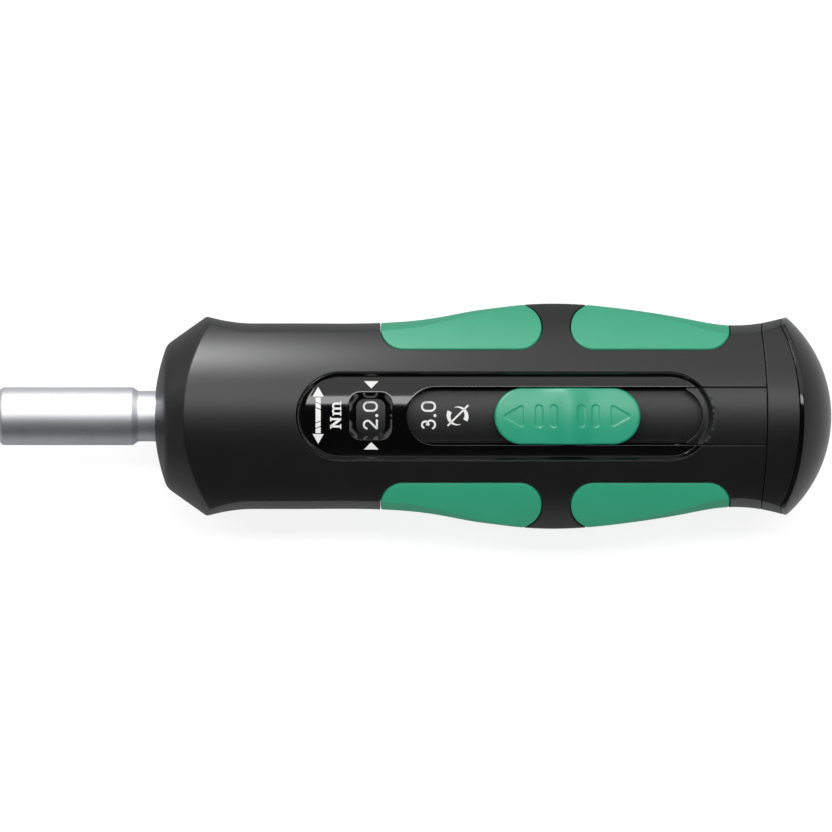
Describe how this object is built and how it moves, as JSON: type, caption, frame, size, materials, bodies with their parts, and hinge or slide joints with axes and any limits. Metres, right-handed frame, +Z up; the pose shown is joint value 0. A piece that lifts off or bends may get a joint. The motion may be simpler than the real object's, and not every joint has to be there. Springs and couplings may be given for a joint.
{
  "type": "torque screwdriver",
  "caption": "Pocket-size torque screwdriver with a turned bit holder, waisted black handle with soft green inlays, a reading window and a sliding button that sets the torque.",
  "frame": {"origin": "under the middle of the tool, on the surface that it lies on", "axes": "+X along the tool's axis from the bit holder to the end cap, +Y across the handle, +Z up through the reading window"},
  "size_m": [0.1412, 0.0382, 0.0296],
  "materials": {
    "black_nylon": "fine moulded texture, satin",
    "gloss_black": "polished mould, glossy",
    "soft_green": "soft moulded elastomer, matt",
    "green_plastic": "moulded, satin",
    "satin_steel": "turned and satin nickel plated",
    "hardened_steel": "hardened and ground",
    "spring_steel": "oiled spring wire",
    "sintered_bronze": "sintered bronze",
    "nickel_magnet": "nickel plated magnet"
  },
  "bodies": {
    "handle": {"handle_shell": "black_nylon", "grip_front_left": "soft_green", "grip_front_right": "soft_green", "grip_rear_left": "soft_green", "grip_rear_right": "soft_green", "scale_insert": "gloss_black", "channel_filler": "black_nylon", "rear_ring": "black_nylon", "end_cap": "gloss_black", "front_bush": "sintered_bronze", "thrust_washer": "hardened_steel", "preload_nut": "sintered_bronze", "spring_seat": "hardened_steel", "outer_spring": "spring_steel"},
    "spindle": {"output_spindle": "satin_steel", "bit_retaining_ring": "spring_steel", "bit_magnet": "nickel_magnet", "cam_disc": "hardened_steel", "spindle_circlip": "spring_steel"},
    "clutch": {"clutch_ring": "hardened_steel", "clutch_balls": "hardened_steel"},
    "slider": {"slider_tongue": "black_nylon", "slider_button": "green_plastic", "shift_sleeve": "hardened_steel", "shift_pin": "hardened_steel", "detent_spring": "spring_steel", "inner_spring": "spring_steel"}
  },
  "joints": [
    {"name": "spindle_turn", "type": "hinge", "parent": "handle", "child": "spindle", "pos_m": [-0.04, 0, 0.01453], "axis": [1, 0, 0], "continuous": true},
    {"name": "clutch_lift", "type": "slide", "parent": "handle", "child": "clutch", "axis": [1, 0, 0], "range_m": [0, 0.001], "stiffness_N_per_m": 40000, "springref_m": -0.007, "deforming": ["outer_spring"]},
    {"name": "torque_switch", "type": "slide", "parent": "handle", "child": "slider", "axis": [1, 0, 0], "range_m": [-0.0145, 0], "deforming": ["inner_spring", "detent_spring"]}
  ]
}
